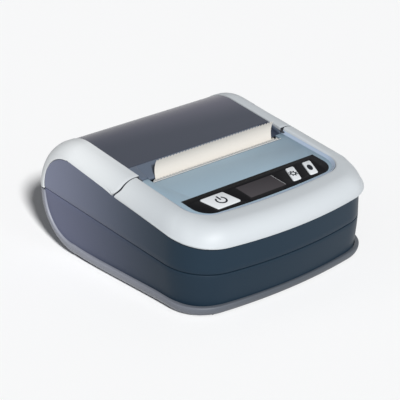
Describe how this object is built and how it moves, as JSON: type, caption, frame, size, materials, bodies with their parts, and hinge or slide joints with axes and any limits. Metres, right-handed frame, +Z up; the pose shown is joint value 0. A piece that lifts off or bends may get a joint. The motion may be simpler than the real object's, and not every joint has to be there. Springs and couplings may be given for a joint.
{
  "type": "portable thermal printer",
  "caption": "Palm-sized thermal printer for paper rolls with a rear-hinged smoked cover, white shoulders, dark housing and a small control panel",
  "frame": {"origin": "middle of the overall box at the height of the surface the feet rest on", "axes": "X to the right seen from the control panel, Y from the control panel to the hinge, Z up"},
  "size_m": [0.1248, 0.133, 0.0631],
  "materials": {
    "white_shell": "satin",
    "slate_shell": "satin",
    "rim_plastic": "satin",
    "foot_rubber": "matt",
    "fascia_plastic": "satin",
    "strip_plastic": "gloss",
    "display_glass": "gloss",
    "window_plastic": "gloss, smoked",
    "lip_plastic": "satin",
    "inner_plastic": "matt",
    "key_plastic": "satin",
    "steel": "brushed",
    "blade_steel": "bright",
    "aluminium": "extruded",
    "ceramic": "glazed",
    "gear_plastic": "natural",
    "brass": "turned",
    "platen_rubber": "ground",
    "paper": "smooth",
    "card": "rough",
    "board": "lacquered",
    "component": "matt",
    "battery_wrap": "shrink film",
    "ribbon": "film"
  },
  "bodies": {
    "housing": {"base_tray": "slate_shell", "bottom_bumper": "rim_plastic", "rubber_feet": "foot_rubber", "mid_housing": "slate_shell", "top_bezel": "white_shell", "control_fascia": "fascia_plastic", "panel_overlay": "strip_plastic", "lcd_lens": "display_glass", "lcd_module": "component", "key_board": "board", "tact_switches": "component", "tear_bar": "blade_steel", "mech_frame": "steel", "head_heatsink": "aluminium", "head_board": "ceramic", "head_spring": "steel", "stepper_motor": "steel", "roll_bay": "inner_plastic", "paper_strip": "paper", "paper_sensor": "component", "hinge_pin": "steel", "battery_pack": "battery_wrap", "battery_contacts": "brass", "main_board": "board", "board_parts": "component", "usb_socket": "steel", "head_ribbon": "ribbon", "buzzer": "component", "case_screws": "steel", "frame_screws": "steel", "board_screws": "steel"},
    "cover": {"cover_carrier": "inner_plastic", "cover_window": "window_plastic", "cover_lip": "lip_plastic", "shoulder_left": "white_shell", "shoulder_right": "white_shell", "platen_bushes": "gear_plastic"},
    "platen": {"platen_shaft": "steel", "platen_sleeve": "platen_rubber", "platen_gear": "gear_plastic"},
    "idler": {"idler_gear": "gear_plastic"},
    "motor_rotor": {"motor_pinion": "brass"},
    "roll": {"paper_roll": "paper", "roll_core": "card"},
    "power_button": {"power_key": "key_plastic"},
    "setup_button": {"setup_key": "key_plastic"},
    "feed_button": {"feed_key": "key_plastic"},
    "release": {"release_button": "white_shell"},
    "lever": {"release_lever": "inner_plastic"},
    "battery_hatch": {"battery_door": "slate_shell"}
  },
  "joints": [
    {"name": "cover_hinge", "type": "hinge", "parent": "housing", "child": "cover", "pos_m": [0, 0.0627, 0.0352], "axis": [-1, 0, 0], "range_deg": [0, 90]},
    {"name": "platen_spin", "type": "hinge", "parent": "cover", "child": "platen", "pos_m": [0, -0.00057, 0.044], "axis": [1, 0, 0], "continuous": true},
    {"name": "idler_spin", "type": "hinge", "parent": "housing", "child": "idler", "pos_m": [0, -0.00317, 0.02923], "axis": [1, 0, 0], "continuous": true},
    {"name": "motor_spin", "type": "hinge", "parent": "housing", "child": "motor_rotor", "pos_m": [0, -0.01267, 0.02006], "axis": [1, 0, 0], "continuous": true},
    {"name": "roll_spin", "type": "hinge", "parent": "housing", "child": "roll", "pos_m": [0, 0.033, 0.0255], "axis": [1, 0, 0], "continuous": true},
    {"name": "power_press", "type": "slide", "parent": "housing", "child": "power_button", "axis": [0, 0.1253, -0.9921], "range_m": [0, 0.0005], "stiffness_N_per_m": 300, "springref_m": -0.0005},
    {"name": "setup_press", "type": "slide", "parent": "housing", "child": "setup_button", "axis": [0, 0.1253, -0.9921], "range_m": [0, 0.0005], "stiffness_N_per_m": 300, "springref_m": -0.0005},
    {"name": "feed_press", "type": "slide", "parent": "housing", "child": "feed_button", "axis": [0, 0.1253, -0.9921], "range_m": [0, 0.0005], "stiffness_N_per_m": 300, "springref_m": -0.0005},
    {"name": "release_press", "type": "slide", "parent": "cover", "child": "release", "axis": [-1, 0, 0], "range_m": [0, 0.0012], "stiffness_N_per_m": 400, "springref_m": -0.001},
    {"name": "lever_turn", "type": "hinge", "parent": "cover", "child": "lever", "pos_m": [0.052, 0.018, 0.05], "axis": [0, -1, 0], "range_deg": [0, 18]},
    {"name": "hatch_hinge", "type": "hinge", "parent": "housing", "child": "battery_hatch", "pos_m": [0, -0.0203, 0.0024], "axis": [1, 0, 0], "range_deg": [0, 80]}
  ],
  "couplings": [
    {"joint": "idler_spin", "follows": "platen_spin", "ratio": -0.66667},
    {"joint": "motor_spin", "follows": "platen_spin", "ratio": 1.4286},
    {"joint": "lever_turn", "follows": "release_press", "rad_per_m": 261.8}
  ]
}
